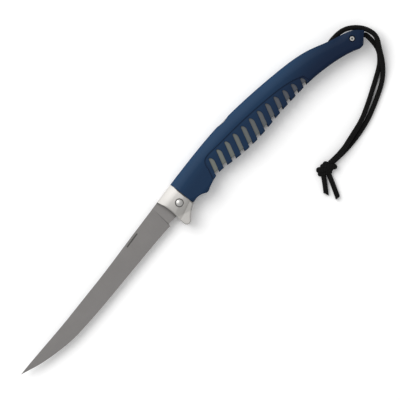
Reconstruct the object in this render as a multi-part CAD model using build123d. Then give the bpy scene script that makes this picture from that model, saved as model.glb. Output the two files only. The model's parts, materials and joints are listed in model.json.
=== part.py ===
from build123d import *
import os
from math import cos, degrees, radians, sin, sqrt, tan

# A folding fillet knife with a lock bar along its back and a cord lanyard, lying on its side
# with the blade open. While it is modelled, the blade pivot is at X = Y = 0 and the knife's
# middle plane is Z = 0. The blade points along -X with its edge towards -Y, and the back of
# the handle faces +Y. All pieces are moved at the end, so that the knife rests on Z = 0.

# Blade
blade_reach = 175.2            # pivot to tip
blade_thick = 1.8
blade_spine_height = 11.55     # pivot line up to the back at the ground heel
blade_edge_drop = 15.1         # pivot line down to the lowest point of the edge
heel_reach = 17.7              # pivot to the heel of the ground blade
plunge_length = 0.9            # the run from the ground blade to the full thickness
ricasso_drop = 5.4             # pivot line down to the unsharpened lower side
edge_half_thick = 0.1
spine_tip_half_thick = 0.3
nick_length = 13.0
nick_width = 1.1
nick_depth = 0.45
nick_reach = 45.0              # pivot to the middle of the nail nick
nick_below_spine = 2.3

# Tang and lock
tang_radius = 8.0
lock_notch_depth = 1.6
lock_notch_width = 3.6
stop_wall = 2.9                # pivot to the wall that stops the blade when it is open
stop_gap = 0.6                 # lock bar nose to that wall
nose_gap = 0.15                # lock bar nose to the round of the tang
lock_bar_end = 71.6            # pivot to the thumb end of the lock bar
lock_bar_height = 7.5
thumb_end_height = 5.0
thumb_end_length = 12.6
lock_pin_reach = 38.0
lock_pin_radius = 1.25
stop_pin_reach = 13.0
stop_pin_height = 5.4
stop_pin_radius = 1.0
fold_angle = 174.2             # from open to closed
spring_thick = 0.6
spring_length = 27.0
spring_seat = 11.6             # length of the spring that is held in the backspacer
spring_seat_height = 11.7      # pivot line up to the middle of that seat

# Pivot
pivot_radius = 1.9
pivot_screw_radius = 0.95
pivot_head_radius = 2.6
pivot_head_height = 0.6
pivot_dome_height = 0.6
pivot_recess_radius = 3.3
pivot_recess_depth = 0.9
washer_radius = 6.0
washer_thick = 0.2

# Handle, seen from the side
handle_length = 188.3          # pivot to the butt
spine_height = 19.8            # pivot line up to the highest point of the back
palm_drop = 8.2                # pivot line down to the palm swell
finger_stop_drop = 9.3         # pivot line down to the small stop behind the forefinger
butt_drop = 15.0               # pivot line down to the lowest point of the tail
bolster_front = 11.5           # pivot to the bolster's front at the back
bolster_rear = 7.2             # pivot to the seam between bolster and scale
guard_drop = 16.2              # pivot line down to the tip of the guard
seam_gap = 0.1
thumb_notch_inset = 6.0        # end of the lock bar to the middle of the thumb notch
thumb_notch_length = 11.0
thumb_notch_depth = 0.65

# Handle, through its thickness
side_gap = 0.25                # blade to liner, each side
liner_thick = 1.0
lanyard_bay_length = 20.0      # rear end of the liners to the middle of the lanyard barrel
scale_half_thick = 8.8         # middle plane to the flat of a scale
bolster_half_thick = 8.2       # middle plane to the face of a bolster
spine_shoulder_width = 9.0     # the rounded band along the back
spine_shoulder_fall = 2.6
belly_shoulder_width = 3.4
belly_shoulder_fall = 1.5
butt_shoulder_width = 3.0
butt_shoulder_fall = 1.6
bolster_chamfer = 0.7
valley_width = 6.0             # the sloping band of the bolster above the guard
valley_depth = 1.1

# Ribbed grip
panel_recess = 0.7
panel_height = 10.3            # pivot line up to the upper border of the ribbed panel
slot_count = 12
slot_width = 3.6
slot_top_bend = 4.4             # radius of the curve that leads into the tip of a slot
slot_tip_radius = 0.9
slot_slant = 21.0              # degrees from square to the handle
slot_top_height = 7.5
insert_base_thick = 1.2
insert_margin = 1.5
insert_sink = 0.7              # the rubber lies this much below the ribs
insert_belly_step = 2.4        # the ribs stand this much past the rubber at the belly
liner_belly_step = 2.8         # and this much past the liners

# Backspacer and its pins
rocking_gap = 0.8              # end of the lock bar to the backspacer
backspacer_setback = 2.0       # rear end of the backspacer to that of the liners
backspacer_height = 9.0
spacer_pin_radius = 1.0
spacer_pin_front_inset = 17.6  # front end of the backspacer to the first pin
spacer_pin_rear_inset = 12.0   # rear end of the backspacer to the second pin

# Screws that hold each scale to its liner
scale_screw_radius = 0.9
scale_screw_head_radius = 1.7
scale_screw_head_depth = 0.8
scale_screw_length = 4.2

# Lanyard fastening
lanyard_from_butt = 10.4
lanyard_drop = 5.5             # pivot line down to the middle of the barrel
lanyard_barrel_radius = 1.5
lanyard_screw_radius = 0.9
lanyard_head_radius = 1.9
lanyard_head_height = 1.1
lanyard_head_floor = 1.6       # depth of the head's seat below the flat of the scale
lanyard_recess_radius = 2.4
socket_width = 1.5
socket_depth = 0.8

# Lanyard cord
cord_diameter = 3.8
knot_height = 7.6

fit_gap = 0.05                 # each side of a pin or screw in its hole
overrun = 1.0                  # how far a cutting tool runs past what it cuts

# Levels above the middle plane
blade_half = blade_thick / 2
liner_inner = blade_half + side_gap
liner_outer = liner_inner + liner_thick
cord_radius = cord_diameter / 2

# Stations behind the pivot
lanyard_x = handle_length - lanyard_from_butt
liner_end_x = lanyard_x - lanyard_bay_length
backspacer_front_x = lock_bar_end + rocking_gap
backspacer_rear_x = liner_end_x - backspacer_setback
thumb_notch_x = lock_bar_end - thumb_notch_inset

# The back of the handle, as shares of handle_length and spine_height
spine_shares = (
    (0.0266, 0.727), (0.159, 0.881), (0.319, 1.0), (0.478, 0.977), (0.637, 0.856),
    (0.797, 0.566), (0.876, 0.268), (0.935, 0.080), (0.975, -0.110),
)
# The palm side, as shares of handle_length and palm_drop, from behind the finger stop
palm_shares = (
    (0.159, -0.756), (0.197, -0.610), (0.255, -0.744), (0.319, -0.927), (0.382, -1.0),
    (0.457, -0.927), (0.531, -0.768), (0.627, -0.683), (0.717, -0.671),
)
# The underside of the tail and the butt, as shares of handle_length and butt_drop
tail_shares = ((0.797, -0.480), (0.871, -0.660), (0.938, -0.950))
# Finger hollow, as shares of bolster_rear and finger_stop_drop
finger_hollow_shares = ((1.0, -0.820), (1.84, -0.705), (2.69, -0.955))
finger_stop_shares = ((2.90, -1.0), (3.13, -0.955))
# Front of the bolster, as shares of bolster_front and guard_drop
bolster_front_shares = ((-1.0, 0.741), (-0.826, 0.309), (-0.765, 0.0), (-0.765, -0.617))
guard_shares = (
    (-0.739, -0.802), (-0.505, -1.0), (-0.275, -0.932), (0.0, -0.752), (0.261, -0.618),
)
# Rounded edges of the scales: handle_length, spine_height, palm_drop and shoulder width
crown_shares = (
    (-0.02, 0.667, -1.05, 1.0), (0.065, 0.773, -0.98, 1.0), (0.117, 0.838, -1.10, 1.0),
    (0.160, 0.884, -0.90, 1.0), (0.205, 0.930, -0.67, 1.0), (0.320, 1.000, -0.93, 1.0),
    (0.400, 0.997, -1.00, 1.0), (0.480, 0.977, -0.89, 1.0), (0.640, 0.859, -0.68, 1.0),
    (0.720, 0.742, -0.71, 1.0), (0.800, 0.566, -0.89, 0.92), (0.876, 0.263, -1.25, 0.8),
    (0.920, 0.110, -1.59, 0.7),
)
# The last of these, past the butt: handle_length, butt_drop, butt_drop and shoulder width
crown_end_shares = (1.020, -0.634, -1.26, 0.5)
# Upper border of the ribbed panel: handle_length and panel_height
panel_shares = (
    (0.175, 0.25), (0.190, 0.87), (0.244, 1.0), (0.398, 0.96), (0.531, 0.80),
    (0.637, 0.52), (0.704, 0.08),
)
# Tops of the slots, as shares of slot_top_height
slot_top_shares = (0.91, 1.0, 0.98, 0.94, 0.89, 0.87, 0.83, 0.77, 0.65, 0.48, 0.31, 0.05)
# Tops of the first and the last slot, as shares of handle_length
slot_row_shares = (0.2098, 0.6904)
slot_bunching_share = 0.0435
# The ground blade: blade_reach, blade_spine_height and blade_edge_drop, heel to tip
blade_shares = (
    (0.100, 0.978, -0.483), (0.171, 0.831, -0.526), (0.285, 0.600, -0.636),
    (0.428, 0.300, -0.785), (0.571, 0.061, -0.927), (0.685, -0.124, -0.998),
    (0.770, -0.236, -0.975), (0.856, -0.330, -0.838), (0.925, -0.410, -0.665),
    (0.970, -0.468, -0.503), (0.999, -0.516, -0.405),
)
# Knot outline: handle_length and butt_drop
knot_shares = (
    (0.4690, -3.76), (0.4800, -3.68), (0.5190, -3.69), (0.5365, -3.86), (0.5485, -4.20),
    (0.5390, -4.355), (0.5080, -4.355), (0.4900, -4.30), (0.4715, -4.08),
)
# Layers of the knot, from the ground up: height and size of the outline
knot_layer_shares = (
    (0, 0.62), (0.06, 0.80), (0.20, 0.95), (0.38, 1.0),
    (0.62, 1.0), (0.80, 0.95), (0.94, 0.80), (1.0, 0.62),
)
# Screws through each liner: handle_length and spine_height
scale_screw_shares = ((0.0956, 0.05), (0.552, 0.63), (0.797, 0.075))

# Cord routes, chosen point by point, with heights above the ground
cord_level = scale_half_thick
bight_route = (
    (172.4, 4.6, cord_level), (161.6, 4.8, cord_level), (160.2, -1.3, cord_level),
    (168.2, -4.9, cord_level), (176.8, -9.1, cord_level), (179.9, -8.8, cord_level),
)
inner_route = (
    (179.9, -8.8, 8.8), (187.7, -8.0, 8.7), (188.3, -15.5, 7.5), (188.1, -20.6, 5.7),
    (187.2, -24.9, 4.0), (184.6, -29.4, 2.6), (179.0, -34.7, 2.0),
    (167.0, -41.1, 1.95), (154.2, -47.7, 2.3), (140.6, -53.8, 4.4), (126.0, -56.9, 5.7),
    (112.4, -59.9, 5.85), (100.5, -59.2, 5.85),
)
outer_route = (
    (172.4, 4.6, 8.8), (178.2, 4.49, 8.8), (186.6, -1.0, 8.9), (191.9, -9.0, 9.6),
    (192.9, -17.4, 10.2), (187.8, -25.0, 9.3), (182.2, -34.9, 5.6), (173.0, -44.1, 2.3),
    (158.7, -51.0, 1.95), (143.8, -57.0, 1.95), (127.7, -60.2, 1.95), (112.4, -61.2, 1.95),
    (100.5, -60.2, 1.95),
)
tail_routes = (
    ((90.9, -62.3, 2.4), (87.0, -67.9, 2.0), (82.2, -73.9, 1.95)),
    ((95.3, -62.6, 2.4), (91.6, -71.3, 2.0), (86.4, -82.2, 1.95)),
)


def along(shares, length, height):
    """Points of an outline, from shares of a length and a height."""
    return [(length * a, height * b) for a, b in shares]


def prism(face, low, high):
    """A flat face drawn on the middle plane, as a solid from one level to another."""
    return extrude(Pos(0, 0, low) * face, high - low)


def mirrored(piece):
    """The same piece on the lower side of the knife."""
    return mirror(piece, Plane.XY)


def block(x_low, x_high, y_low, y_high):
    """A rectangle between two stations along the knife and two heights."""
    size = Rectangle(x_high - x_low, y_high - y_low)
    return Pos((x_low + x_high) / 2, (y_low + y_high) / 2) * size


def rod(x, y, radius, low, high):
    """A round bar, square to the side of the knife."""
    return Pos(x, y, low) * Cylinder(radius, high - low, align=(Align.CENTER, Align.CENTER, Align.MIN))


# Handle outline

def handle_face():
    """The whole handle from the side, bolster and guard included."""
    front = along(bolster_front_shares, bolster_front, guard_drop)
    guard = along(guard_shares, bolster_front, guard_drop)
    hollow = along(finger_hollow_shares, bolster_rear, finger_stop_drop)
    stop = along(finger_stop_shares, bolster_rear, finger_stop_drop)
    palm = along(palm_shares, handle_length, palm_drop) + along(tail_shares, handle_length, butt_drop)
    spine = along(spine_shares, handle_length, spine_height)
    heel = (handle_length * 0.9515, -butt_drop)
    heel_end = (handle_length * 0.9620, -butt_drop * 0.953)
    butt_start = (handle_length * 0.9920, -butt_drop * 0.600)
    butt_tip = (handle_length, -butt_drop * 0.500)
    butt_end = (handle_length * 0.9930, -butt_drop * 0.380)
    return make_face([
        Spline(front[0], *spine, butt_end),
        ThreePointArc(butt_end, butt_tip, butt_start),
        Line(butt_start, heel_end),
        ThreePointArc(heel_end, heel, palm[-1]),
        Spline(palm[-1], *reversed(palm[:-1]), stop[1]),
        ThreePointArc(stop[1], stop[0], hollow[-1]),
        Spline(*reversed(hollow)),
        Spline(hollow[0], *reversed(guard[2:])),
        ThreePointArc(guard[2], guard[1], guard[0]),
        Line(guard[0], front[-1]),
        Spline(*reversed(front)),
    ])


def seam_region(gap):
    """Everything behind the seam of bolster and scale, moved back by a gap."""
    high = 2 * spine_height
    top = (bolster_rear * 0.64 + gap, spine_height * 0.8)
    middle = (bolster_rear * 0.88 + gap, spine_height * 0.12)
    bottom = (bolster_rear * 1.01 + gap, -guard_drop * 0.75)
    return make_face([
        Line((top[0], high), top),
        ThreePointArc(top, middle, bottom),
        Line(bottom, (bottom[0], -high)),
        Line((bottom[0], -high), (2 * handle_length, -high)),
        Line((2 * handle_length, -high), (2 * handle_length, high)),
        Line((2 * handle_length, high), (top[0], high)),
    ])


def thumb_notch():
    """The round dip in liners and scales that bares the thumb end of the lock bar."""
    half = thumb_notch_length / 2
    radius = (half ** 2 + thumb_notch_depth ** 2) / (2 * thumb_notch_depth)
    return Pos(thumb_notch_x, spine_height - thumb_notch_depth + radius) * Circle(radius)


def back_band(outline, height, x_low, x_high):
    """A strip of the outline along the back of the handle."""
    strip = outline - Pos(0, -height) * outline
    return strip & block(x_low, x_high, -2 * spine_height, 2 * spine_height)


# Blade

def blade_section(x, top, bottom, top_half, bottom_half):
    """A cross-section of the blade, square to its length."""
    corners = [(x, top, top_half), (x, bottom, bottom_half), (x, bottom, -bottom_half), (x, top, -top_half)]
    return make_face(Polyline(*corners, close=True))


def blade():
    """Flexible straight-backed blade with a thinned edge, a nail nick and a round tang."""
    sections = []
    for reach, top, bottom in blade_shares:
        thinning = (reach - blade_shares[0][0]) / (1 - blade_shares[0][0])
        top_half = blade_half + (spine_tip_half_thick - blade_half) * thinning ** 1.5
        sections.append(blade_section(
            -blade_reach * reach, blade_spine_height * top, blade_edge_drop * bottom,
            top_half, edge_half_thick,
        ))
    ground = loft(sections)
    full_reach = heel_reach - plunge_length
    rise = (1 - blade_shares[1][1] / blade_shares[0][1]) / (blade_shares[1][0] - blade_shares[0][0])
    slope = rise * blade_spine_height / blade_reach
    full_top = blade_spine_height * blade_shares[0][1] + slope * plunge_length
    plunge = loft([
        sections[0],
        blade_section(-full_reach, full_top, -ricasso_drop, blade_half, blade_half),
    ], ruled=True)
    wall_top = full_top + slope * (full_reach + stop_wall)
    flank = sqrt(tang_radius ** 2 - ricasso_drop ** 2)
    tang = make_face(Polyline(
        (-full_reach, full_top), (stop_wall, wall_top), (stop_wall, 0), (-flank, 0),
        (-flank, -ricasso_drop), (-full_reach, -ricasso_drop), close=True,
    ))
    tang += Circle(tang_radius)
    notch_x = stop_wall + lock_notch_width / 2
    notch = Pos(notch_x, tang_radius) * Rectangle(lock_notch_width, 2 * tang_radius)
    tang -= notch - Circle(tang_radius - lock_notch_depth)
    solid = ground + plunge + prism(tang, -blade_half, blade_half)
    solid -= rod(0, 0, pivot_radius + fit_gap, -blade_thick, blade_thick)
    return solid - nail_nick(slope)


def nail_nick(slope):
    """A shallow groove for a thumb nail, along the back of the blade."""
    tilt = degrees(slope)
    height = blade_spine_height + slope * (heel_reach - nick_reach) - nick_below_spine
    groove = Rot(Z=tilt) * SlotOverall(nick_length, nick_width)
    half_here = blade_half - edge_half_thick
    return prism(Pos(-nick_reach, height) * groove, half_here - nick_depth, blade_thick)


# Pieces around the pivot

def washer():
    ring = Circle(washer_radius) - Circle(pivot_radius + fit_gap)
    return prism(ring, liner_inner - washer_thick, liner_inner)


def domed_head(radius, seat, height, dome):
    """A round head with a domed top, standing on a level."""
    ball = (radius ** 2 + dome ** 2) / (2 * dome)
    disc = rod(0, 0, radius, seat, seat + height + dome)
    return disc & Pos(0, 0, seat + height + dome - ball) * Sphere(ball)


def pivot_barrel():
    """Upper half of the pivot: a domed head on a drilled barrel that carries the blade."""
    seat = bolster_half_thick - pivot_recess_depth
    barrel = rod(0, 0, pivot_radius, -seat, seat)
    barrel += domed_head(pivot_head_radius, seat, pivot_head_height, pivot_dome_height)
    return barrel - rod(0, 0, pivot_screw_radius + fit_gap, -seat - overrun, liner_outer)


def pivot_screw():
    """Lower half of the pivot: a domed head with a stem that goes into the barrel."""
    seat = bolster_half_thick - pivot_recess_depth
    head = mirrored(domed_head(pivot_head_radius, seat, pivot_head_height, pivot_dome_height))
    return head + rod(0, 0, pivot_screw_radius, -seat, liner_inner)


# Plates of the handle

def liner(outline):
    """Steel plate beside the blade well, with holes for all pins and countersunk screws."""
    plate = (outline - thumb_notch()) & block(-2 * bolster_front, liner_end_x, -2 * guard_drop, 2 * spine_height)
    plate -= (outline - Pos(0, liner_belly_step) * outline) & panel_face()
    solid = prism(plate, liner_inner, liner_outer)
    low, high = liner_inner - overrun, liner_outer + overrun
    solid -= rod(0, 0, pivot_radius + fit_gap, low, high)
    for x, y, radius in cross_pins():
        solid -= rod(x, y, radius + fit_gap, low, high)
    for x, y in scale_screw_places():
        solid -= scale_screw(x, y, fit_gap)
    return solid


def cross_pins():
    """Place and radius of each pin that crosses the blade well."""
    spacer = backspacer_height / 2
    front = backspacer_front_x + spacer_pin_front_inset
    rear = backspacer_rear_x - spacer_pin_rear_inset
    return (
        (lock_pin_reach, spine_at(lock_pin_reach) - lock_bar_height / 2, lock_pin_radius),
        (stop_pin_reach, stop_pin_height, stop_pin_radius),
        (front, spine_at(front) - spacer, spacer_pin_radius),
        (rear, spine_at(rear) - spacer, spacer_pin_radius),
    )


def spine_at(x):
    """Height of the back of the handle at a station along it."""
    upright = Edge.make_line((x, 0), (x, 2 * spine_height))
    return max(vertex.Y for vertex in (outline_face & upright).vertices())


def scale_screw_places():
    return along(scale_screw_shares, handle_length, spine_height)


def scale_screw(x, y, gap):
    """A countersunk screw from the blade well through the liner into the scale."""
    foot = liner_inner + scale_screw_head_depth
    cone = Cone(
        scale_screw_head_radius + gap, scale_screw_radius + gap, scale_screw_head_depth,
        align=(Align.CENTER, Align.CENTER, Align.MIN),
    )
    stem = rod(x, y, scale_screw_radius + gap, foot, liner_inner + scale_screw_length + gap)
    return Pos(x, y, liner_inner) * cone + stem


def cross_pin(x, y, radius):
    end = liner_outer - fit_gap
    return rod(x, y, radius, -end, end)


def shoulder_radius(width, fall):
    """Radius of an arc that leaves a flat and falls by some height over some width."""
    return (width ** 2 + fall ** 2) / (2 * fall)


def shoulder_drop(width, fall, run):
    """How far that arc has fallen after a run."""
    radius = shoulder_radius(width, fall)
    return radius - sqrt(radius ** 2 - run ** 2)


def crown(level):
    """Solid whose upper side rounds down along the back and the belly of the handle."""
    top = level + fit_gap
    stations = [
        (handle_length * reach, spine_height * back, palm_drop * belly, narrowing)
        for reach, back, belly, narrowing in crown_shares
    ]
    reach, back, belly, narrowing = crown_end_shares
    stations.append((handle_length * reach, butt_drop * back, butt_drop * belly, narrowing))
    sections = []
    for x, high, low, narrowing in stations:
        width = spine_shoulder_width * narrowing
        fall = spine_shoulder_fall * narrowing
        run = width + overrun
        drop = shoulder_drop(width, fall, run)
        mid_drop = shoulder_drop(width, fall, run / 2)
        back_flat = (x, high - width, top)
        back_middle = (x, high - width + run / 2, top - mid_drop)
        back_edge = (x, high + overrun, top - drop)
        run = belly_shoulder_width + overrun
        drop = shoulder_drop(belly_shoulder_width, belly_shoulder_fall, run)
        mid_drop = shoulder_drop(belly_shoulder_width, belly_shoulder_fall, run / 2)
        belly_flat = (x, low + belly_shoulder_width, top)
        belly_middle = (x, low + belly_shoulder_width - run / 2, top - mid_drop)
        belly_edge = (x, low - overrun, top - drop)
        sections.append(make_face([
            Line((x, low - overrun, 0), (x, high + overrun, 0)),
            Line((x, high + overrun, 0), back_edge),
            ThreePointArc(back_edge, back_middle, back_flat),
            Line(back_flat, belly_flat),
            ThreePointArc(belly_flat, belly_middle, belly_edge),
            Line(belly_edge, (x, low - overrun, 0)),
        ]))
    return loft(sections)


def panel_face():
    """The sunken panel that holds the ribs, open past the palm side."""
    border = along(panel_shares, handle_length, panel_height)
    low = -2 * palm_drop
    front_low = (border[0][0] - (border[0][1] - low) * tan(radians(slot_slant)), low)
    rear_low = (border[-1][0] + palm_drop / 2, low)
    return make_face([
        Spline(*border),
        Line(border[-1], rear_low),
        Line(rear_low, front_low),
        Line(front_low, border[0]),
    ])


def slot_face(gap):
    """One slot, pointing down from its top: its rear side bends over to a rounded tip."""
    half = slot_width / 2
    length = 2 * (slot_top_height + palm_drop)
    tip_height = half + slot_tip_radius
    rise = sqrt(slot_top_bend ** 2 - (slot_top_bend - 2 * half) ** 2)
    bend = Pos(half - slot_top_bend, tip_height - rise) * Circle(slot_top_bend)
    side = Pos(0, tip_height - rise - length / 2) * Rectangle(slot_width, length)
    top = Pos(0, tip_height - rise / 2) * Rectangle(slot_width, rise)
    face = side + (top & bend)
    tip = face.vertices().sort_by(Axis.Y)[-1]
    return offset(fillet(tip, slot_tip_radius), -gap, kind=Kind.INTERSECTION)


def slot_faces(gap):
    """The slanted slots of the grip, open at the palm side."""
    slot = slot_face(gap)
    first_x, last_x = (handle_length * share for share in slot_row_shares)
    slots = []
    for k, share in enumerate(slot_top_shares):
        way = k / (slot_count - 1)
        way += slot_bunching_share * (way - way ** 2)
        x = first_x + (last_x - first_x) * way
        y = slot_top_height * share - slot_width / 2
        slots.append(Pos(x, y) * Rot(Z=-slot_slant) * slot)
    return Sketch() + slots


def insert_base_face(outline):
    """The plate of the rubber insert, hidden in a pocket on the inner side of the scale."""
    raised = Pos(0, insert_belly_step) * outline
    return (Pos(0, -insert_margin) * panel_face()) & raised


def butt_shoulder(level):
    """A wedge that takes the outer edge off the butt."""
    start = (handle_length * 0.9920, -butt_drop * 0.600)
    end = (handle_length * 0.9620, -butt_drop * 0.953)
    slope = Vector(start[0] - end[0], start[1] - end[1], 0)
    outward = Vector(slope.Y, -slope.X, 0).normalized()
    corner = Vector(start[0], start[1], level)
    inner = corner - outward * butt_shoulder_width
    run = 1 + overrun / butt_shoulder_width
    outer = inner + (outward * butt_shoulder_width - Vector(0, 0, butt_shoulder_fall)) * run
    above = outer + Vector(0, 0, 2 * butt_shoulder_fall + overrun)
    wedge = make_face(Polyline(tuple(inner), tuple(outer), tuple(above), close=True))
    half = handle_length / 8
    along_butt = slope.normalized()
    return extrude(wedge, half, dir=along_butt) + extrude(wedge, half, dir=along_butt * -1)


def scale(outline, crowned):
    """Moulded handle half with a ribbed, slotted grip and rounded edges."""
    face = (outline - thumb_notch()) & seam_region(seam_gap)
    solid = prism(face, liner_outer, scale_half_thick) & crowned
    solid -= butt_shoulder(scale_half_thick)
    solid -= prism(panel_face(), scale_half_thick - panel_recess, scale_half_thick + overrun)
    solid -= prism(slot_faces(0), liner_outer - overrun, scale_half_thick + overrun)
    solid -= prism(insert_base_face(face), liner_outer - overrun, liner_outer + insert_base_thick)
    solid -= rod(lanyard_x, -lanyard_drop, lanyard_barrel_radius + fit_gap, 0, scale_half_thick)
    seat = scale_half_thick - lanyard_head_floor
    solid -= rod(lanyard_x, -lanyard_drop, lanyard_recess_radius, seat, scale_half_thick + overrun)
    for x, y in scale_screw_places():
        solid -= scale_screw(x, y, fit_gap)
    return solid


def grip_insert(outline, crowned):
    """Soft rubber piece: a hidden plate with a finger that fills each slot."""
    face = outline & seam_region(seam_gap)
    top = scale_half_thick - panel_recess - insert_sink
    fingers = slot_faces(fit_gap) & Pos(0, insert_belly_step) * face
    lowered = Pos(0, 0, -panel_recess - insert_sink) * crowned
    solid = prism(fingers, liner_outer, top) & lowered
    return solid + prism(insert_base_face(face), liner_outer, liner_outer + insert_base_thick - fit_gap)


def bolster(outline):
    """Steel bolster with its guard, a sloping band above the guard and a recess for the pivot."""
    face = outline - seam_region(0)
    solid = prism(face, liner_outer, bolster_half_thick)
    solid = chamfer(solid.faces().sort_by(Axis.Z)[-1].edges(), bolster_chamfer)
    solid &= bolster_shoulder()
    solid -= guard_valley()
    solid -= rod(0, 0, pivot_radius + fit_gap, 0, bolster_half_thick)
    seat = bolster_half_thick - pivot_recess_depth
    return solid - rod(0, 0, pivot_recess_radius, seat, bolster_half_thick + overrun)


def bolster_shoulder():
    """Long bar with the rounded band of the scales along its back, to trim a bolster."""
    top = bolster_half_thick + fit_gap
    run = spine_shoulder_width + overrun
    edge_drop = shoulder_drop(spine_shoulder_width, spine_shoulder_fall, run)
    mid_drop = shoulder_drop(spine_shoulder_width, spine_shoulder_fall, run / 2)
    first = (-bolster_front, bolster_front_shares[0][1] * guard_drop)
    last = (spine_shares[0][0] * handle_length, spine_shares[0][1] * spine_height)
    way = Vector(last[0] - first[0], last[1] - first[1], 0).normalized()
    across = Vector(-way.Y, way.X, 0)
    base = Vector(last[0], last[1], 0)

    def at(offset, level):
        return tuple(base + across * offset + Vector(0, 0, level))

    low = -2 * (spine_height + guard_drop)
    profile = make_face([
        Line(at(low, 0), at(overrun, 0)),
        Line(at(overrun, 0), at(overrun, top - edge_drop)),
        ThreePointArc(
            at(overrun, top - edge_drop), at(overrun - run / 2, top - mid_drop),
            at(-spine_shoulder_width, top),
        ),
        Line(at(-spine_shoulder_width, top), at(low, top)),
        Line(at(low, top), at(low, 0)),
    ])
    length = 4 * (bolster_front + bolster_rear)
    return extrude(profile, length, dir=way) + extrude(profile, length, dir=way * -1)


def guard_valley():
    """Wedge above the guard: the bolster slopes down to it and ends at a small step."""
    front = Vector(-bolster_front * 0.565, -guard_drop * 0.574, 0)
    rear = Vector(bolster_rear * 0.972, -guard_drop * 0.290, 0)
    way = (rear - front).normalized()
    across = Vector(-way.Y, way.X, 0)
    level = Vector(0, 0, bolster_half_thick)
    sunk = front + level - Vector(0, 0, valley_depth)
    start = front + across * valley_width + level
    above = Vector(0, 0, valley_depth + overrun)
    rise = (start - sunk) * (overrun / valley_depth)
    wedge = make_face(Polyline(
        tuple(sunk), tuple(start + rise), tuple(sunk + above), close=True,
    ))
    length = 2 * (bolster_front + bolster_rear)
    return extrude(wedge, length, dir=way) + extrude(wedge, length, dir=way * -1)


# Pieces between the liners

def lock_bar(outline):
    """Rocking bar along the back: a nose over the tang and a bare end under the thumb."""
    nose = stop_wall + stop_gap
    face = back_band(outline, lock_bar_height, nose, lock_bar_end)
    face -= Circle(tang_radius + nose_gap)
    face -= Pos(stop_pin_reach, stop_pin_height) * Circle(stop_pin_radius + nose_gap)
    relief = Pos(0, -thumb_end_height) * outline
    face -= relief & block(lock_bar_end - thumb_end_length, 2 * lock_bar_end, -spine_height, spine_height)
    half = liner_inner - fit_gap
    solid = prism(face, -half, half)
    x, y, radius = cross_pins()[0]
    return solid - rod(x, y, radius + fit_gap, -blade_thick, blade_thick)


def spring_face():
    """Side view of the leaf spring, from its seat to the underside of the lock bar."""
    rear = backspacer_front_x + spring_seat
    front = rear - spring_seat - (spring_length - spring_seat)
    contact = spine_at(front) - lock_bar_height - fit_gap
    return make_face(Polyline(
        (rear, spring_seat_height - spring_thick / 2), (rear, spring_seat_height + spring_thick / 2),
        (front, contact), (front, contact - spring_thick), close=True,
    ))


def lock_spring():
    half = liner_inner - side_gap
    return prism(spring_face(), -half, half)


def backspacer(outline):
    """Bar that closes the back of the handle behind the lock bar."""
    face = back_band(outline, backspacer_height, backspacer_front_x, backspacer_rear_x)
    face -= offset(spring_face(), fit_gap, kind=Kind.INTERSECTION)
    solid = prism(face, -liner_inner, liner_inner)
    for x, y, radius in cross_pins()[2:]:
        solid -= rod(x, y, radius + fit_gap, -liner_outer, liner_outer)
    return solid


# Lanyard fastening

def lanyard_barrel():
    """Lower half of the lanyard fastening: a flat head on a drilled barrel."""
    seat = scale_half_thick - lanyard_head_floor
    x, y = lanyard_x, -lanyard_drop
    solid = rod(x, y, lanyard_barrel_radius, -seat, seat)
    solid += rod(x, y, lanyard_head_radius, -seat - lanyard_head_height, -seat)
    return solid - rod(x, y, lanyard_screw_radius + fit_gap, liner_inner, seat + overrun)


def lanyard_screw():
    """Upper half of the lanyard fastening: a round head with a six-sided socket."""
    seat = scale_half_thick - lanyard_head_floor
    x, y = lanyard_x, -lanyard_drop
    top = seat + lanyard_head_height
    head = rod(x, y, lanyard_head_radius, seat, top)
    head = chamfer(head.faces().sort_by(Axis.Z)[-1].edges(), lanyard_head_height / 4)
    socket = Pos(x, y) * RegularPolygon(socket_width / 2, 6, major_radius=False)
    head -= prism(socket, top - socket_depth, top + overrun)
    return head + rod(x, y, lanyard_screw_radius, liner_outer, seat)


# Lanyard cord

def corner_radii(points):
    """For each corner of a route, the largest radius that its two runs allow."""
    radii = []
    for before, here, after in zip(points, points[1:], points[2:]):
        arriving = Vector(here) - Vector(before)
        leaving = Vector(after) - Vector(here)
        half_turn = radians(arriving.get_angle(leaving)) / 2
        radii.append(0.45 * min(arriving.length, leaving.length) / tan(half_turn))
    return radii


def bight_radii():
    """The same for the bight, but the corner at the lanyard barrel hugs the barrel."""
    barrel = Vector(lanyard_x, -lanyard_drop, cord_level)
    corners = [Vector(point) for point in bight_route[1:-1]]
    nearest = min(corners, key=lambda corner: (corner - barrel).length)
    radii = corner_radii(bight_route)
    radii[corners.index(nearest)] = lanyard_barrel_radius + cord_radius + 2 * fit_gap
    return radii


def cord(name, points, radii):
    """A tube along straight runs joined by tangent arcs, on heights above the ground."""
    level = Vector(0, 0, scale_half_thick)
    route = [Vector(point) - level for point in points]
    path = FilletPolyline(*route, radius=radii)
    section = Plane(origin=path @ 0, z_dir=path % 0) * Circle(cord_radius)
    tube = sweep(section, path)
    wanted = section.area * path.length
    print(name, "radii", [round(r, 1) for r in radii], "length", round(path.length, 1),
          "volume to section times length", round(tube.volume / wanted, 5))
    return tube


def lanyard_knot(tubes):
    """Overhand knot, as a rounded body that lies on the ground and grips the cord's ends."""
    points = [Vector(*point) for point in along(knot_shares, handle_length, butt_drop)]
    middle = sum(points, Vector()) / len(points)
    layers = []
    for rise, size in knot_layer_shares:
        level = Vector(0, 0, knot_height * rise - scale_half_thick)
        ring = [middle + (point - middle) * size + level for point in points]
        layers.append(make_face(Spline(*ring, periodic=True)))
    return loft(layers) - tubes


outline_face = handle_face()


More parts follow.
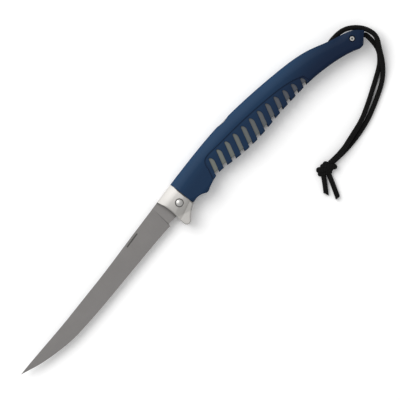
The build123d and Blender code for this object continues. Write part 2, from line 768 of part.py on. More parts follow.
def knife_pieces():
    """All pieces of the knife itself, by name."""
    crowned = crown(scale_half_thick)
    half_scale = scale(outline_face, crowned)
    half_insert = grip_insert(outline_face, crowned)
    half_liner = liner(outline_face)
    half_bolster = bolster(outline_face)
    screws = Part() + [scale_screw(x, y, 0) for x, y in scale_screw_places()]
    pins = [cross_pin(*place) for place in cross_pins()]
    return {
        "blade": blade(),
        "pivot_barrel": pivot_barrel(),
        "pivot_screw": pivot_screw(),
        "washer_top": washer(),
        "washer_bottom": mirrored(washer()),
        "liner_top": half_liner,
        "liner_bottom": mirrored(half_liner),
        "bolster_top": half_bolster,
        "bolster_bottom": mirrored(half_bolster),
        "scale_top": half_scale,
        "scale_bottom": mirrored(half_scale),
        "grip_insert_top": half_insert,
        "grip_insert_bottom": mirrored(half_insert),
        "scale_screws_top": screws,
        "scale_screws_bottom": mirrored(screws),
        "lock_bar": lock_bar(outline_face),
        "lock_pin": pins[0],
        "stop_pin": pins[1],
        "spacer_pins": Part() + pins[2:],
        "lock_spring": lock_spring(),
        "backspacer": backspacer(outline_face),
        "lanyard_barrel": lanyard_barrel(),
        "lanyard_screw": lanyard_screw(),
    }


def cord_pieces():
    """The lanyard: a bight round the barrel, two free strands, the knot and its tails."""
    inner = cord("lanyard_strand_inner", inner_route, corner_radii(inner_route))
    outer = cord("lanyard_strand_outer", outer_route, corner_radii(outer_route))
    tails = [cord("lanyard_tails", route, corner_radii(route)) for route in tail_routes]
    return {
        "lanyard_bight": cord("lanyard_bight", bight_route, bight_radii()),
        "lanyard_strand_inner": inner,
        "lanyard_strand_outer": outer,
        "lanyard_knot": lanyard_knot([inner, outer, *tails]),
        "lanyard_tails": Part() + tails,
    }


def main():
    os.makedirs("parts", exist_ok=True)
    knife = knife_pieces()
    box = knife["blade"].bounding_box()
    for piece in knife.values():
        box = box.add(piece.bounding_box())
    middle = box.center()
    rest = Pos(-middle.X, -middle.Y, -box.min.Z)
    pin_x, pin_y = cross_pins()[0][:2]
    print("lock pin from the pivot", round(pin_x, 4), round(pin_y, 4))
    print("pivot in the part's frame", round(-middle.X, 4), round(-middle.Y, 4), round(-box.min.Z, 4))
    for name, piece in {**knife, **cord_pieces()}.items():
        export_step(rest * piece, f"parts/{name}.step")


main()
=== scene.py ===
# %% [markdown]
# # A folding fillet knife, dressed for its portrait
#
# The knife lies open on a white table: a slim grey blade, bright steel bolsters, a dark blue
# moulded handle whose ribs show warm grey rubber between them, and a black cord tied through
# the butt. The solids come in ready made and to scale. They could be modelled again here, but
# solids that already fit and turn on each other are better left alone. This file adds what
# they can't tell: finishes, softened edges, a braided cord, a real knot, light and a camera.

import json
import math

import bmesh
import bpy
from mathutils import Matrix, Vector


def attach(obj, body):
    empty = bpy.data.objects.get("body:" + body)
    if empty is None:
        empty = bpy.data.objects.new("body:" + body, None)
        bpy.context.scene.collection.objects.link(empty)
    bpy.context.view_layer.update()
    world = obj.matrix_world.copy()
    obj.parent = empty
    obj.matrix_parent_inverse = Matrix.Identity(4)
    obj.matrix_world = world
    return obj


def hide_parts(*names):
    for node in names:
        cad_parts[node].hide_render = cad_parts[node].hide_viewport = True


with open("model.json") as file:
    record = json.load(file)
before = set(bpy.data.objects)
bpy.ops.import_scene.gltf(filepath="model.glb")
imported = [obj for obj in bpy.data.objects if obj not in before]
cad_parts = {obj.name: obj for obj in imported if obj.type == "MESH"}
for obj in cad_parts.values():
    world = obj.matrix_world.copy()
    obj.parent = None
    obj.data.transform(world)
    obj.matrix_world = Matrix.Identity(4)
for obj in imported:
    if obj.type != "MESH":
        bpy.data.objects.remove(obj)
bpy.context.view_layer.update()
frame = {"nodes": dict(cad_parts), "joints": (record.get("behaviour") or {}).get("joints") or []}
nodes = frame["nodes"]

# %% [markdown]
# ## A ruler that starts at the pivot
#
# A knife maker measures from the blade's pivot: X along the knife towards the butt, Y up to
# the back of the handle. The solids use metres from the middle of the footprint. Every place
# below could be written in those metres, but such numbers are hard to check against the
# knife, so one small function turns millimetres from the pivot into the solids' frame.

# %% Ruler from the pivot
pivot = Vector(next(joint["pos_m"] for joint in frame["joints"] if joint["name"] == "blade_fold"))
millimetre = 1 / 1000


def at(x, y, height):
    """A point in the solids' frame, from millimetres off the pivot and above the table."""
    return Vector((pivot.x + x * millimetre, pivot.y + y * millimetre, height * millimetre))


print("pivot in mm", [round(v * 1000, 2) for v in pivot])

# %% [markdown]
# ## The camera
#
# The picture was taken from straight above with a long lens, and the knife lies across it at
# about 45 degrees. The knife could be turned under an upright camera, but it is simpler to
# leave the knife on its own axes and roll the camera. It looks down by itself, so the roll is
# all that has to be set. A long lens far away keeps the thick handle from leaning outwards.

# %% Camera above the table
picture_centre = (12.33, -9.43, 8.8)
view_width = 0.300
camera_height = 1.8
film_width = 36
roll = math.radians(-45.33)


def link(piece):
    """Puts a new object into the scene."""
    bpy.context.scene.collection.objects.link(piece)
    return piece


camera = link(bpy.data.objects.new("camera", bpy.data.cameras.new("camera")))
camera.location = at(*picture_centre) + Vector((0, 0, camera_height))
camera.rotation_euler = (0, 0, roll)
camera.data.sensor_width = film_width
camera.data.lens = film_width * camera_height / view_width
camera.data.clip_end = 10
bpy.context.scene.camera = camera
bpy.context.scene.view_settings.view_transform = "Standard"
print("lens in mm", round(camera.data.lens, 1))

# %% [markdown]
# ## The way the cord lies
#
# The lanyard is one piece of limp braided cord. It is folded round a barrel in the butt, and
# its two strands leave the handle, sink to the table, cross once and lie close together on
# their way to the knot. A cloth or rope simulation could drop it on the table, but it would
# never land in the same curve twice. So the way is given as a list: each row below is a control
# point, in millimetres from the pivot, and the curve rounds off the corners between them.

# %% Routes of the cord
cord_diameter = 3.8
inner_route = (
    (179.9, -8.8, 8.8), (187.7, -8.0, 8.7), (188.3, -15.5, 7.5), (188.1, -20.6, 5.7),
    (187.2, -24.9, 4.0), (184.6, -29.4, 2.6), (179.0, -34.7, 2.0), (167.0, -41.1, 1.95),
    (154.2, -47.7, 2.3), (140.6, -53.8, 4.4), (126.0, -56.9, 5.7), (112.4, -59.9, 5.85),
    (100.5, -59.2, 5.85),
)
outer_route = (
    (172.4, 4.6, 8.8), (178.2, 4.49, 8.8), (186.6, -1.0, 8.9), (191.9, -9.0, 9.6),
    (192.9, -17.4, 10.2), (187.8, -25.0, 9.3), (182.2, -34.9, 5.6), (173.0, -44.1, 2.3),
    (158.7, -51.0, 1.95), (143.8, -57.0, 1.95), (127.7, -60.2, 1.95), (112.4, -61.2, 1.95),
    (100.5, -60.2, 1.95),
)
bight_route = (
    (172.4, 4.6, 8.8), (161.6, 4.8, 8.8), (160.2, -1.3, 8.8), (168.2, -4.9, 8.8),
    (176.8, -9.1, 8.8), (179.9, -8.8, 8.8),
)
print("control points", len(inner_route), len(outer_route), len(bight_route))

# %% [markdown]
# ## From a route to a fine line
#
# A Bezier curve could join the points too, but it has two handles on each point to look
# after. A NURBS curve of the third order has none: it touches the middle of each inner side
# of its control polygon and bends evenly in between, as a cord does. The evaluated curve is
# then turned into a mesh of fine edges, whose vertices can also be measured.

# %% Smooth lines
def nurbs_line(name, points, closed=False):
    """A smooth curve with those control points, open or closed, and no thickness."""
    data = bpy.data.curves.new(name, "CURVE")
    data.dimensions = "3D"
    data.resolution_u = 16
    spline = data.splines.new("NURBS")
    spline.points.add(len(points) - 1)
    for control, place in zip(spline.points, points):
        control.co = (*place, 1)
    spline.order_u = 3
    spline.use_cyclic_u = closed
    spline.use_endpoint_u = not closed
    return link(bpy.data.objects.new(name, data))


def plain_mesh(piece, name):
    """The evaluated shape of an object as a new object with a plain mesh; the old one goes."""
    depsgraph = bpy.context.evaluated_depsgraph_get()
    mesh = bpy.data.meshes.new_from_object(piece.evaluated_get(depsgraph), depsgraph=depsgraph)
    bpy.data.objects.remove(piece)
    mesh.name = name
    return link(bpy.data.objects.new(name, mesh))


def smooth_path(name, route):
    """A route as a fine line of points: a mesh with edges and no faces."""
    return plain_mesh(nurbs_line(name, [at(*place) for place in route]), name)


# %% [markdown]
# ## One tree of nodes for every length of cord
#
# A braided cord is equally thick all along, so its shape follows a rule: a circle swept
# along a line. A curve's own bevel could do that, but it can't tell a material where on the
# cord a point lies. Geometry Nodes can: the tree resamples the line into even steps, sweeps a
# circle along it and closes the ends, and on the way it notes two things on every point for
# the braid to read later. One is how far along the cord the point is. The other is where
# round the cord it is, kept as a place on the circle, so no seam shows where it closes.

# %% Geometry Nodes: a swept cord
def new_input(tree, name, kind, value):
    """Adds a named input to a tree, with its starting value, and returns its identifier."""
    socket = tree.interface.new_socket(name, in_out="INPUT", socket_type=kind)
    socket.default_value = value
    return socket.identifier


def build_cord_tree(material):
    """Returns the tree and the identifiers of its inputs."""
    tree = bpy.data.node_groups.new("cord_along_line", "GeometryNodeTree")
    tree.interface.new_socket("Line", in_out="INPUT", socket_type="NodeSocketGeometry")
    tree.interface.new_socket("Cord", in_out="OUTPUT", socket_type="NodeSocketGeometry")
    inputs = {
        "Radius": new_input(tree, "Radius", "NodeSocketFloat", cord_diameter / 2 * millimetre),
        "Step": new_input(tree, "Step", "NodeSocketFloat", 0.0008),
        "Sides": new_input(tree, "Sides", "NodeSocketInt", 20),
    }
    make, wire = tree.nodes.new, tree.links.new
    group_in, group_out = make("NodeGroupInput"), make("NodeGroupOutput")
    to_curve = make("GeometryNodeMeshToCurve")
    resample = make("GeometryNodeResampleCurve")
    resample.mode = "LENGTH"
    along = make("GeometryNodeSplineParameter")
    keep_along = make("GeometryNodeStoreNamedAttribute")
    keep_along.inputs["Name"].default_value = "cord_length"
    circle = make("GeometryNodeCurvePrimitiveCircle")
    place = make("GeometryNodeInputPosition")
    keep_round = make("GeometryNodeStoreNamedAttribute")
    keep_round.data_type = "FLOAT_VECTOR"
    keep_round.inputs["Name"].default_value = "cord_round"
    sweep = make("GeometryNodeCurveToMesh")
    sweep.inputs["Fill Caps"].default_value = True
    smooth = make("GeometryNodeSetShadeSmooth")
    realize = make("GeometryNodeRealizeInstances")
    dress = make("GeometryNodeSetMaterial")
    dress.inputs["Material"].default_value = material
    wire(group_in.outputs["Line"], to_curve.inputs["Mesh"])
    wire(to_curve.outputs["Curve"], resample.inputs["Curve"])
    wire(group_in.outputs["Step"], resample.inputs["Length"])
    wire(resample.outputs["Curve"], keep_along.inputs["Geometry"])
    wire(along.outputs["Length"], keep_along.inputs["Value"])
    wire(group_in.outputs["Radius"], circle.inputs["Radius"])
    wire(group_in.outputs["Sides"], circle.inputs["Resolution"])
    wire(circle.outputs["Curve"], keep_round.inputs["Geometry"])
    wire(place.outputs["Position"], keep_round.inputs["Value"])
    wire(keep_along.outputs["Geometry"], sweep.inputs["Curve"])
    wire(keep_round.outputs["Geometry"], sweep.inputs["Profile Curve"])
    wire(sweep.outputs["Mesh"], smooth.inputs["Geometry"])
    wire(smooth.outputs["Geometry"], realize.inputs["Geometry"])
    wire(realize.outputs["Geometry"], dress.inputs["Geometry"])
    wire(dress.outputs["Geometry"], group_out.inputs["Cord"])
    return tree, inputs


cord_material = bpy.data.materials.new("black_braided_cord")
cord_tree, cord_inputs = build_cord_tree(cord_material)
print("cord tree nodes", len(cord_tree.nodes))

# %% Lay the two strands and the bight
def braided(line, name, **sizes):
    """Sweeps the cord along a line and returns it as a plain mesh."""
    modifier = line.modifiers.new("cord", "NODES")
    modifier.node_group = cord_tree
    for label, value in sizes.items():
        modifier[cord_inputs[label]] = value
    return plain_mesh(line, name)


strands = {}
for name, route, end in (
    ("strand_inner", inner_route, "lanyard_strand_inner"),
    ("strand_outer", outer_route, "lanyard_strand_outer"),
    ("bight", bight_route, "lanyard_bight"),
):
    line = smooth_path(name + "_line", route)
    path = [vertex.co.copy() for vertex in line.data.vertices]
    length = sum((b - a).length for a, b in zip(path, path[1:]))
    piece = braided(line, name)
    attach(piece, "handle")
    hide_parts(end)
    strands[name] = (piece, path, length)
    print(name, "mm", round(length * 1000, 1), "faces", len(piece.data.polygons))

# %% [markdown]
# ## The knot
#
# Both strands are tied together in one overhand knot, pulled tight. From above it shows as a
# small fist of cord. The true knot could be drawn as one line that passes over and under
# itself, but pulled this tight it would cut through itself everywhere. So the knot is built
# as it looks: a core of cord with four turns laid slanted across it. Each turn is a closed
# loop that stands on edge, longer than it is high, and only just clears the table.

# %% Tie the knot
turn_corners = 8
clear_of_table = 0.98
core_radius = 2.3
core_route = ((90.6, -59.4, 3.3), (94.0, -60.6, 3.6), (98.0, -60.4, 3.6), (102.0, -59.9, 3.6))


def turn(name, x, y, way, reach, radius, level):
    """A turn round the knot's core: a loop on edge, which shows from above as a thick bar."""
    # The curve touches only the middle of each side, so the corners stand further out.
    swing = 1 / math.cos(math.pi / turn_corners)
    rise = (level - radius) * clear_of_table
    points = []
    for corner in range(turn_corners):
        angle = math.tau * corner / turn_corners
        along = reach * swing * math.cos(angle)
        points.append(at(
            x + along * math.cos(math.radians(way)),
            y + along * math.sin(math.radians(way)),
            level + rise * swing * math.sin(angle),
        ))
    line = plain_mesh(nurbs_line(name, points, closed=True), name)
    return braided(line, name, Radius=radius * millimetre)


def join(parts, name):
    """Several plain meshes as one object."""
    mesh = bpy.data.meshes.new(name)
    merged = bmesh.new()
    for part in parts:
        merged.from_mesh(part.data)
        bpy.data.objects.remove(part)
    merged.to_mesh(mesh)
    merged.free()
    mesh.materials.append(cord_material)
    return link(bpy.data.objects.new(name, mesh))


knot = join([
    turn("turn_over", 94.6, -59.9, way=-38, reach=4.4, radius=2.3, level=3.8),
    turn("turn_between", 97.3, -59.9, way=-50, reach=3.3, radius=2.2, level=4.0),
    turn("turn_beside", 99.6, -60.6, way=-62, reach=3.6, radius=2.1, level=3.8),
    turn("turn_under", 93.1, -62.0, way=-31, reach=3.9, radius=1.9, level=2.9),
    braided(smooth_path("core", core_route), "core", Radius=core_radius * millimetre),
], "knot")
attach(knot, "handle")
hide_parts("lanyard_knot")
print("knot faces", len(knot.data.polygons))

# %% [markdown]
# ## The two ends
#
# Past the knot the strands end in two short tails, cut off slanted with scissors. A Boolean
# could cut them, but the swept tube already ends in a flat cap at right angles to the cord.
# It is enough to slide the points of that cap forwards on one side and back on the other.

# %% Tails with slanted cuts
tail_routes = (
    ((90.9, -62.3, 2.4), (87.0, -67.9, 2.0), (82.2, -73.9, 1.95)),
    ((95.3, -62.6, 2.4), (91.6, -71.3, 2.0), (86.4, -82.2, 1.95)),
)
tail_slopes = (0.7, -0.4)
cap_depth = 0.0002


def cut_slanted(tail, route, slope):
    """Leans the far end of a tail; a slope above 0 leaves it longer on its left."""
    end = at(*route[-1])
    way = (end - at(*route[-2])).normalized()
    left = Vector((-way.y, way.x, 0))
    for vertex in tail.data.vertices:
        offset = vertex.co - end
        if offset.dot(way) > -cap_depth:
            vertex.co += way * slope * offset.dot(left)
    return tail


tail_pieces = []
for k, (route, slope) in enumerate(zip(tail_routes, tail_slopes)):
    tail = braided(smooth_path(f"tail_{k}", route), f"tail_{k}")
    tail_pieces.append(cut_slanted(tail, route, slope))
tails = join(tail_pieces, "tails")
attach(tails, "handle")
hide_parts("lanyard_tails")
print("tail faces", len(tails.data.polygons))

# %% [markdown]
# ## What the strands are
#
# A mesh is stiff, and the real strands are limp. Nothing in a mesh says so. Each strand's
# path and length were kept when it was swept, and the number of points on each path is shown.

# %% Points on the two strands
for name in ("strand_inner", "strand_outer"):
    piece, path, length = strands[name]
    print(name, "described with", len(path), "points")

# %% [markdown]
# ## Writing finishes as sums
#
# A finish is a graph of nodes. It could be wired socket by socket, as the cord's tree is, but
# a pattern is easier to read as a formula. `Wire` stands for one output socket, and plus,
# minus, times, divide and power on it add the Math nodes.

# %% A socket that can be used in a sum
class Wire:
    """One output socket of a graph."""

    def __init__(self, finish, socket):
        self.finish = finish
        self.socket = socket

    def other(self, name):
        """Another output of the same node."""
        return Wire(self.finish, self.socket.node.outputs[name])

    def _sum(self, operation, first, second):
        return self.finish.node("ShaderNodeMath", {"operation": operation}, {0: first, 1: second})

    def __add__(self, other):
        return self._sum("ADD", self, other)

    def __radd__(self, other):
        return self._sum("ADD", other, self)

    def __sub__(self, other):
        return self._sum("SUBTRACT", self, other)

    def __rsub__(self, other):
        return self._sum("SUBTRACT", other, self)

    def __mul__(self, other):
        return self._sum("MULTIPLY", self, other)

    def __rmul__(self, other):
        return self._sum("MULTIPLY", other, self)

    def __truediv__(self, other):
        return self._sum("DIVIDE", self, other)

    def __rtruediv__(self, other):
        return self._sum("DIVIDE", other, self)

    def __pow__(self, other):
        return self._sum("POWER", self, other)

    def __rpow__(self, other):
        return self._sum("POWER", other, self)

    def __neg__(self):
        return self * -1


# %% [markdown]
# ## One method for every other node
#
# `Finish` holds the graph of one material, or of the room's light. It could have a method for
# each kind of node, but there are dozens of kinds and only three things to say of each: its
# settings, what goes into its sockets, and which output is wanted. So one method adds them
# all. A second one ends a material, and the short functions that follow build on these two.

# %% A finish, node by node
class Finish:
    """The nodes of one material, or of the room's light, written top down."""

    def __init__(self, owner):
        owner.use_nodes = True
        self.owner = owner
        self.tree = owner.node_tree
        self.tree.nodes.clear()

    def node(self, kind, settings=None, inputs=None, out=0):
        """Adds a node and returns one of its outputs; an input is a value or a wire."""
        made = self.tree.nodes.new(kind)
        for name, value in (settings or {}).items():
            setattr(made, name, value)
        for place, value in (inputs or {}).items():
            socket = made.inputs[place]
            if isinstance(value, Wire):
                self.tree.links.new(value.socket, socket)
            else:
                socket.default_value = (*value, 1) if socket.type == "RGBA" else value
        return Wire(self, made.outputs[out]) if made.outputs else None

    def surface(self, **sockets):
        """Ends a material: feeds the surface shader by the names of its sockets."""
        inputs = {name.replace("_", " "): value for name, value in sockets.items()}
        shader = self.node("ShaderNodeBsdfPrincipled", None, inputs)
        self.node("ShaderNodeOutputMaterial", None, {"Surface": shader})
        return self.owner


def new_finish(name):
    """An empty finish for a new material with that name."""
    return Finish(bpy.data.materials.new(name))


def wear(material, *names):
    """Gives solids a finish."""
    for name in names:
        nodes[name].data.materials.clear()
        nodes[name].data.materials.append(material)
    print("dressed", *names)


# %% [markdown]
# ## Grain, relief and soft edges
#
# Every finish on this knife has a grain: small lumps or lines that vary its colour and catch
# the light. A picture of the grain could be laid on, but it would need each piece unrolled
# flat first. A noise in space needs nothing of the kind. Edges could be bevelled in the mesh,
# but the solids are to stay as they are, so a Bevel node turns the light at them instead.

# %% Grain and relief
def noise(finish, scale, stretch=(1, 1, 1), detail=2.0):
    """A grey noise on the object's own coordinates, in lumps per metre."""
    place = finish.node("ShaderNodeTexCoord", out="Object")
    place = finish.node("ShaderNodeMapping", None, {"Vector": place, "Scale": stretch})
    return finish.node(
        "ShaderNodeTexNoise", None, {"Vector": place, "Scale": scale, "Detail": detail})


def mix(share, first, second):
    """A colour between two, by a share from 0 to 1."""
    return share.finish.node(
        "ShaderNodeMix", {"data_type": "RGBA"}, {0: share, 6: first, 7: second}, out=2)


def relief(height, depth, edge=None):
    """Fine relief, that many metres deep; an edge radius also rounds the solid's edges."""
    inputs = {"Height": height, "Distance": depth}
    if edge:
        inputs["Normal"] = height.finish.node("ShaderNodeBevel", {"samples": 6}, {"Radius": edge})
    return height.finish.node("ShaderNodeBump", None, inputs)


# %% [markdown]
# ## Braided cord
#
# The sheath of such a cord is a tube of fine yarns that cross each other in diamonds. Each
# yarn could be swept as a line of its own, at a cost of millions of faces for a thing that a
# camera hardly sees. Two sine waves that run round the cord in opposite directions give the
# same diamonds as relief, out of the two notes made while the cord was swept.

# %% Finish: black cord
yarns_round = 8
yarn_lay = 0.0030
yarn_depth = 0.00016
fuzz_scale = 2600


def sine(angle):
    """The sine of an angle in radians."""
    return angle.finish.node("ShaderNodeMath", {"operation": "SINE"}, {0: angle})


def cord_finish():
    """Matt black yarns with a little fuzz."""
    finish = Finish(cord_material)
    around = finish.node("ShaderNodeAttribute", {"attribute_name": "cord_round"}, out="Vector")
    x = finish.node("ShaderNodeSeparateXYZ", None, {0: around}, out="X")
    angle = finish.node("ShaderNodeMath", {"operation": "ARCTAN2"}, {0: x.other("Y"), 1: x})
    length = finish.node("ShaderNodeAttribute", {"attribute_name": "cord_length"}, out="Fac")
    climb = length * (math.tau / yarn_lay)
    yarn = sine(angle * yarns_round + climb) * sine(angle * yarns_round - climb)
    fuzz = noise(finish, fuzz_scale)
    return finish.surface(
        Base_Color=mix(yarn * 0.5 + 0.5, (0.003, 0.003, 0.003), (0.011, 0.0105, 0.0105)),
        Roughness=fuzz * 0.2 + 0.62,
        Normal=relief(yarn * 0.7 + fuzz * 0.5, yarn_depth),
        Specular_IOR_Level=0.05,
    )


print("finish", cord_finish().name)

# %% [markdown]
# ## Steel
#
# The blade is dull grey from being ground and blasted, the bolsters are brushed and bright,
# the frame inside is plain satin steel, and the domed heads at the pivot and in the butt have
# a fine, even skin. An anisotropic shader could draw out the gloss of brushed steel, but it
# has no lines in it. A noise that is stretched along the grinding belt has them, and it draws
# the grain in the colour, in the roughness and in a very low relief. The washers beside the
# tang are bronze, made by the same rule.

# %% Finish: steel
# The near-black that painted shade on the steel mixes towards.
painted_shade_steel = (0.03, 0.03, 0.028)
grain_scale = 9000
grain_depth = 0.000012
cloud_scale = 60
roughness_spread = 0.16


def steel(name, dark, light, grain, roughness, shade=None, edge=0.0002):
    """Brushed metal; a function of the finish can return its painted shade, from 0 to 1."""
    finish = new_finish(name)
    lines = noise(finish, grain_scale, grain, 3.0)
    clouds = noise(finish, cloud_scale)
    colour = mix(lines * 0.6 + clouds * 0.4, dark, light)
    if shade:
        # Painted shade: the colour falls towards near-black where the shade is low.
        colour = mix(shade(finish), painted_shade_steel, colour)
    return finish.surface(
        Base_Color=colour, Metallic=1.0, Roughness=(lines - 0.5) * roughness_spread + roughness,
        Normal=relief(lines, grain_depth, edge),
    )


# %% [markdown]
# ## Where shade is painted on the steel
#
# The blade gets a painted shadow close to the bolster, whose curved front shades it, and painted
# shade in the nail nick, a thin groove near its back. The bolster gets painted shade and painted
# reflection: bright at the back, darker below the pivot and bright again on the guard, with
# painted shade in the groove round the pivot head. The socket of the lanyard screw gets painted
# shade too.
# Lamps placed just so could bring that out, but they would upset the rest of the picture. So each
# painted shade is made of smooth steps over the knife. Places are in millimetres from the pivot,
# and distances in metres, the unit of an object's coordinates.

# %% Steps over the knife
def offset(finish, x, y):
    """Metres along and across the knife from a point in millimetres off the pivot."""
    place = finish.node("ShaderNodeTexCoord", out="Object")
    away = finish.node(
        "ShaderNodeVectorMath", {"operation": "SUBTRACT"}, {0: place, 1: tuple(at(x, y, 0))})
    along = finish.node("ShaderNodeSeparateXYZ", None, {0: away}, out="X")
    return along, along.other("Y")


def height_above_table(finish):
    """Metres above the table, which lies at height 0."""
    place = finish.node("ShaderNodeTexCoord", out="Object")
    return finish.node("ShaderNodeSeparateXYZ", None, {0: place}, out="Z")


def step(value, start, end, first=0.0, last=1.0):
    """The first number up to the start, the last from the end on, smooth between them."""
    return value.finish.node(
        "ShaderNodeMapRange", {"interpolation_type": "SMOOTHSTEP"},
        {0: value, 1: start, 2: end, 3: first, 4: last})


def larger(first, second):
    """The larger of a wire and a number, or of two wires."""
    return first.finish.node("ShaderNodeMath", {"operation": "MAXIMUM"}, {0: first, 1: second})


# %% Shade of the blade
bolster_front = -8.8
front_curve = 18.7
shadow_of_bolster = 0.38
nick_centre = (-45.0, 5.44)
nick_tilt = math.radians(8)
nick_half_run = 0.0059
nick_edge = (0.00048, 0.00062)
nick_darkness = 0.75
middle_of_blade = (0.0087, 0.0089)


def bolster_shadow(finish):
    """A painted shadow along the bolster's front, which curves forwards above the pivot's level.
    """
    along, across = offset(finish, bolster_front, 0)
    above = larger(across, 0.0)
    front = above * above * -front_curve
    return step(front - along, -0.0008, 0.0026, shadow_of_bolster)


def blade_shade(finish):
    """Painted shadow close to the bolster and painted shade in the nail nick, which is on the
    upper side alone.
    """
    along, across = offset(finish, *nick_centre)
    run = along * math.cos(nick_tilt) + across * math.sin(nick_tilt)
    aside = across * math.cos(nick_tilt) - along * math.sin(nick_tilt)
    past_end = larger(larger(run, -run) - nick_half_run, 0.0)
    distance = (past_end * past_end + aside * aside) ** 0.5
    upper_side = step(height_above_table(finish), *middle_of_blade)
    in_nick = step(distance, *nick_edge, 1.0, 0.0) * upper_side
    return bolster_shadow(finish) * (1.0 - in_nick * nick_darkness)


# %% Shades of the bolster and of the lanyard screw
pivot_head_radius = 3.2
screw_place = (177.9, -5.5)
socket_radius = 0.75
circle_blur = 0.00008


def dark_circle(finish, x, y, radius, shade):
    """That shade within a circle round a point, and 1 outside it."""
    along, across = offset(finish, x, y)
    distance = (along * along + across * across) ** 0.5
    edge = radius * millimetre
    return step(distance, edge - circle_blur, edge + circle_blur, shade)


def bolster_shade(finish):
    """Painted shade and reflection: bright at the back, darker below the pivot, bright on the
    guard; painted shade round the pivot head.
    """
    along, across = offset(finish, 0, 0)
    slant = across + along * 0.35
    back = step(slant, -0.005, 0.010, 0.60, 1.0)
    guard = step(slant, -0.0105, -0.0085, 0.18, 0.0)
    return (back + guard) * dark_circle(finish, 0, 0, pivot_head_radius, 0.2)


def socket_shade(finish):
    """Painted shade in the socket of the lanyard screw."""
    return dark_circle(finish, *screw_place, socket_radius, 0.15)


# %% Steel and bronze on their pieces
even_grain = (1, 1, 1)
head_dark = (0.31, 0.305, 0.295)
head_light = (0.38, 0.375, 0.365)
blade_steel = steel(
    "blade_steel", (0.144, 0.138, 0.135), (0.204, 0.197, 0.192),
    grain=(1, 0.03, 0.03), roughness=0.42, shade=blade_shade)
bolster_steel = steel(
    "bolster_steel", (0.46, 0.447, 0.43), (0.55, 0.537, 0.515),
    grain=(0.03, 1, 0.3), roughness=0.62, shade=bolster_shade, edge=0.0004)
frame_steel = steel(
    "frame_steel", (0.46, 0.455, 0.445), (0.60, 0.59, 0.58), grain=(0.04, 1, 1), roughness=0.34)
polished_steel = steel("polished_steel", head_dark, head_light, even_grain, roughness=0.38)
screw_steel = steel(
    "screw_steel", head_dark, head_light, even_grain, roughness=0.38, shade=socket_shade)
washer_bronze = steel(
    "washer_bronze", (0.46, 0.30, 0.14), (0.56, 0.38, 0.19), even_grain, roughness=0.35)
wear(blade_steel, "blade")
wear(bolster_steel, "bolster_top", "bolster_bottom")
wear(frame_steel, "liner_top", "liner_bottom", "lock_bar", "lock_pin", "lock_spring", "stop_pin",
     "spacer_pins", "backspacer", "scale_screws_top", "scale_screws_bottom")
wear(polished_steel, "pivot_barrel", "pivot_screw", "lanyard_barrel")
wear(screw_steel, "lanyard_screw")
wear(washer_bronze, "washer_top", "washer_bottom")

# %% [markdown]
# ## Moulded handle and rubber
#
# The scales are fibre-filled plastic: dark blue and dull, with the fine spark-eroded texture
# of the mould. The rubber between the ribs is a softer, lighter grey with its own faint
# grain. One flat colour would do for either, but the blue is lit fullest along the back and
# falls into shade towards the palm, the tail and the creases, and that shade is painted into
# its colour. The rubber is made darker towards its rear. So both mix a deep colour with a full
# one, by a share that follows the place. In the creases the painted shade comes from an Ambient
# Occlusion node, which feels how much of the sky a point can see.

# %% Finish: moulded plastic and rubber
dull_gloss = 0.11
moulded_edge = 0.0004
texture_depth = 0.00005
mottle_scale = 45


def moulded(name, deep, dark, light, roughness, grain, shade):
    """Dull moulded material; a function of the finish returns how much of the full colour shows,
    from 0 to 1.
    """
    finish = new_finish(name)
    texture = noise(finish, grain, detail=3.0)
    mottle = noise(finish, mottle_scale)
    colour = mix(texture * 0.5 + mottle * 0.5, dark, light)
    return finish.surface(
        # The share mixes the deep colour in: painted shade on the plastic, a darker rear on the
        # rubber.
        Base_Color=mix(shade(finish), deep, colour),
        Roughness=texture * 0.14 + roughness,
        Normal=relief(texture, texture_depth, moulded_edge),
        Specular_IOR_Level=dull_gloss,
    )


def openness(finish, distance, samples=8):
    """1 on an open surface, less in a crease within this distance in metres."""
    return finish.node(
        "ShaderNodeAmbientOcclusion", {"samples": samples}, {"Distance": distance}, out="AO")


# %% Plastic and rubber on their pieces
top_of_back = (70, 20.2)
back_curve = 0.712
crease_width = 0.0016
grip_front = (40, 0)


def plastic_shade(finish):
    """Painted shade: full along the back, weaker towards the palm, weakest low down on the tail,
    dark in creases.
    """
    along, across = offset(finish, *top_of_back)
    below_back = -across - along * along / back_curve
    palm = step(below_back, -0.003, 0.016, 1.0, 0.45)
    tail = step(along + below_back * 2, 0.040, 0.115, 1.0, 0.32)
    # Painted shade in the creases, from how open the surface is.
    return palm * tail * openness(finish, crease_width) ** 2


def rubber_shade(finish):
    """Full at the front of the grip and deeper at its rear."""
    along = offset(finish, *grip_front)[0]
    return step(along, -0.020, 0.085, 1.0, 0.50)


scale_plastic = moulded(
    "scale_plastic", (0.0, 0.003, 0.018), (0.0125, 0.044, 0.101), (0.0185, 0.057, 0.127),
    roughness=0.40, grain=2600, shade=plastic_shade)
grip_rubber = moulded(
    "grip_rubber", (0.0, 0.0, 0.050), (0.142, 0.152, 0.134), (0.205, 0.218, 0.196),
    roughness=0.72, grain=1800, shade=rubber_shade)
wear(scale_plastic, "scale_top", "scale_bottom")
wear(grip_rubber, "grip_insert_top", "grip_insert_bottom")

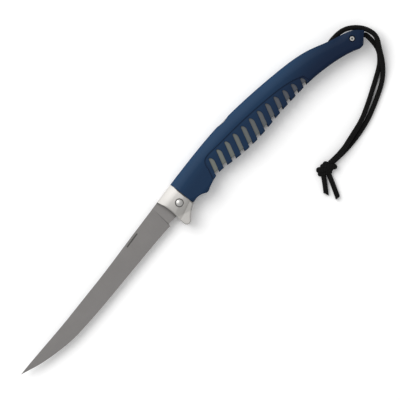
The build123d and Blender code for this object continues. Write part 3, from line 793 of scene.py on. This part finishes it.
# %% [markdown]
# ## The table
#
# The knife was laid on a white sweep, and only its shadow tells where the table is. A shadow
# catcher could stand in for it, but it is made for pictures with a see-through ground. So the
# table is a real white sheet, with a little glow that only the camera sees, which lifts it to
# pure white. The glow fades close to the knife and the cord, where the shadow is deepest.

# %% White table
table_reach = 4.0
table_glow = 0.17
gap_reach = 0.012


def pale_floor():
    """A wide square sheet at height 0."""
    mesh = bpy.data.meshes.new("table")
    corners = [
        (x * table_reach, y * table_reach, 0) for x, y in ((-1, -1), (1, -1), (1, 1), (-1, 1))
    ]
    mesh.from_pydata(corners, [], [(0, 1, 2, 3)])
    finish = new_finish("white_table")
    seen = finish.node("ShaderNodeLightPath", out="Is Camera Ray")
    glow = mix(seen * openness(finish, gap_reach, 16), (0.0, 0.0, 0.0), (table_glow,) * 3)
    mesh.materials.append(finish.surface(
        Base_Color=(0.97, 0.97, 0.97), Roughness=0.9, Emission_Color=glow, Emission_Strength=1.0,
    ))
    return link(bpy.data.objects.new("table", mesh))


pale_floor()
print("table in m", 2 * table_reach)

# %% [markdown]
# ## The lamp and the room
#
# A product picture on white has one large soft lamp and white walls all round. The walls
# could be built and lit, but a world colour does the same with less noise. For the camera and
# for reflections the room is pure white. For all other light it is dimmer, so that the lamp's
# shadow shows and the colours stay as they were mixed.

# %% Lamp and room
lamp_place = Vector((-0.10, 0.75, 1.10))
lamp_size = 0.95
lamp_watts = 11.0
room_level = 0.54

light = bpy.data.lights.new("key", "AREA")
light.size = lamp_size
light.energy = lamp_watts
lamp = link(bpy.data.objects.new("key", light))
lamp.location = lamp_place
lamp.rotation_euler = (-lamp_place).to_track_quat("-Z", "Y").to_euler()

world = bpy.data.worlds.new("white_room")
bpy.context.scene.world = world
room = Finish(world)
ray = room.node("ShaderNodeLightPath", out="Is Camera Ray")
seen = larger(ray, ray.other("Is Glossy Ray"))
level = seen * (1.0 - room_level) + room_level
background = room.node("ShaderNodeBackground", None, {"Color": (1, 1, 1), "Strength": level})
room.node("ShaderNodeOutputWorld", None, {"Surface": background})
print("lamp in m from the knife", round(lamp_place.length, 2), "room nodes", len(room.tree.nodes))
